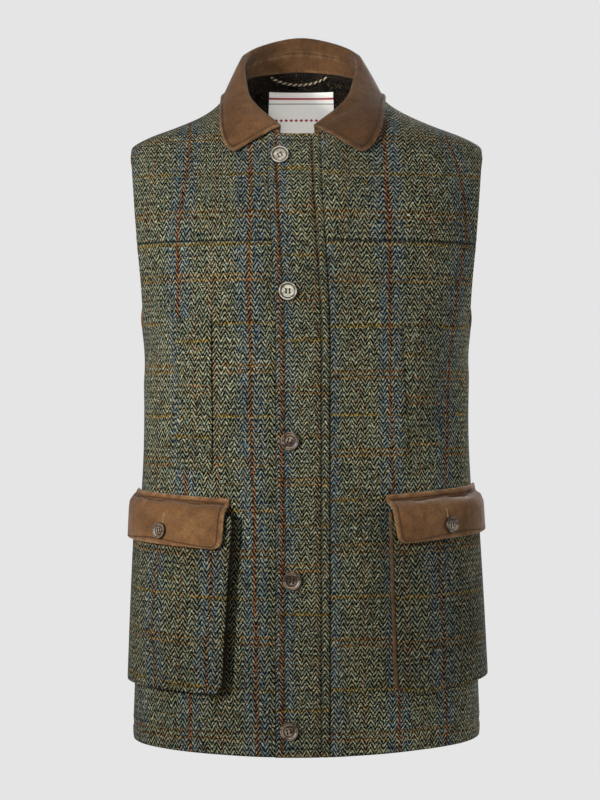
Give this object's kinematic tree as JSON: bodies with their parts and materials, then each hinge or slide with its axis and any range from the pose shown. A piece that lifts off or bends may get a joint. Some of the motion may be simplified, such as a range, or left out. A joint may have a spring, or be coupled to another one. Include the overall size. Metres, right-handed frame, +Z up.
{
  "type": "body warmer",
  "caption": "Sleeveless tweed body warmer in hollow worn form, with a buttoned placket, turned-down collar, welt pockets and flapped bellows pockets.",
  "frame": {"origin": "inside the base of the neck, on the line through the shoulders that carry the garment", "axes": "+Z up along the wearer, -Y out of the front, +X towards the wearer's left"},
  "size_m": [0.3994, 0.2797, 0.7946],
  "materials": {
    "herringbone_tweed": "olive herringbone tweed with rust and mustard overcheck",
    "brown_moleskin": "brown moleskin with a short nap",
    "dark_lining": "dark brown satin lining with a light scroll pattern",
    "pale_horn": "pale horn, polished",
    "brown_horn": "brown horn, polished",
    "label_weave": null,
    "loop_cord": "two-tone twisted cord"
  },
  "bodies": {
    "root": {"armhole_facing_left": "brown_moleskin", "armhole_facing_right": "brown_moleskin", "back": "herringbone_tweed", "back_lining": "dark_lining", "button_1": "pale_horn", "button_2": "pale_horn", "button_3": "brown_horn", "button_4": "brown_horn", "button_5": "brown_horn", "collar_fall": "brown_moleskin", "collar_stand": "brown_moleskin", "flap_button_left": "brown_horn", "flap_button_right": "brown_horn", "front_left": "herringbone_tweed", "front_right": "herringbone_tweed", "hanging_loop": "loop_cord", "neck_label": "label_weave", "placket": "herringbone_tweed", "pocket_flap_left": "brown_moleskin", "pocket_flap_right": "brown_moleskin", "pocket_front_left": "herringbone_tweed", "pocket_front_right": "herringbone_tweed", "pocket_gusset_left": "brown_moleskin", "pocket_gusset_right": "brown_moleskin", "welt_left": "herringbone_tweed", "welt_right": "herringbone_tweed", "yoke_left": "herringbone_tweed", "yoke_right": "herringbone_tweed"}
  },
  "joints": []
}
